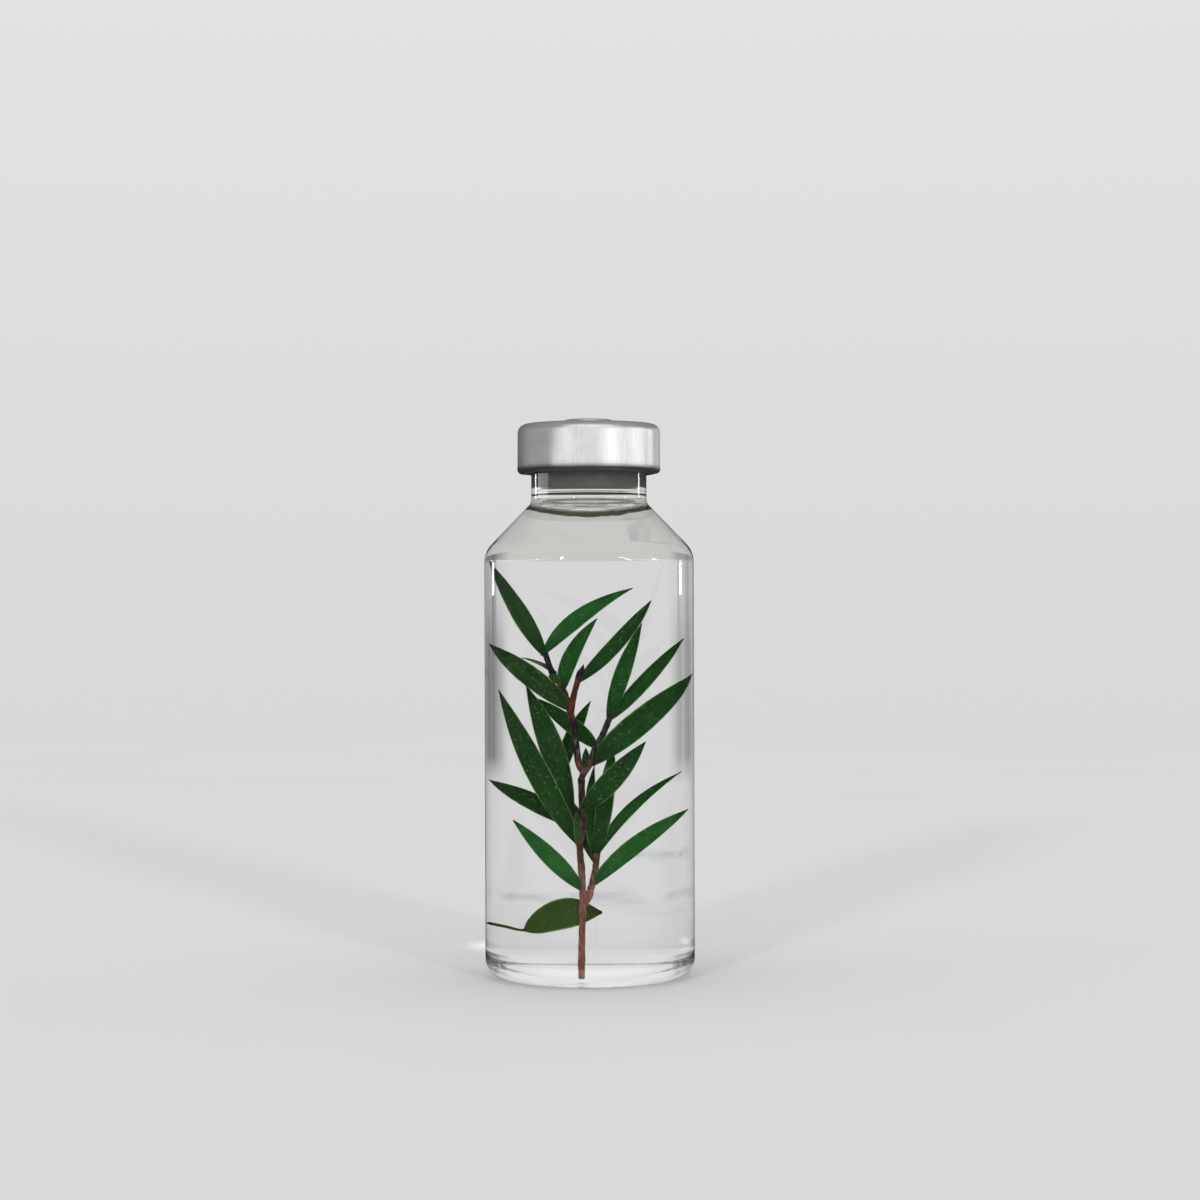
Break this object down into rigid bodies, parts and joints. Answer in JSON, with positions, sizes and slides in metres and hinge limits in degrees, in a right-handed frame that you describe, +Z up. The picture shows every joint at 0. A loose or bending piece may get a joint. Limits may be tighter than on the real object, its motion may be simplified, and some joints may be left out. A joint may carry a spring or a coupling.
{
  "type": "tea tree sprig in bottle",
  "caption": "Leafy tea tree sprig kept in clear liquid in a small glass vial, closed by a grey rubber stopper and a crimped aluminium cap.",
  "frame": {"origin": "on the vial's axis, in the plane of the ring it stands on", "axes": "+Z up along the vial's axis, -Y towards the viewer, +X to the viewer's right"},
  "size_m": [0.03, 0.03, 0.0798],
  "materials": {
    "vial_glass": "clear, polished",
    "clear_liquid": "clear liquid",
    "grey_rubber": "matt",
    "satin_aluminium": "satin",
    "leaf_green": "smooth waxy leaf",
    "bark_brown": "thin smooth bark"
  },
  "bodies": {
    "root": {"glass_vial": "vial_glass", "liquid": "clear_liquid", "rubber_stopper": "grey_rubber", "crimp_cap": "satin_aluminium", "tea_tree_sprig": "leaf_green"}
  },
  "joints": []
}
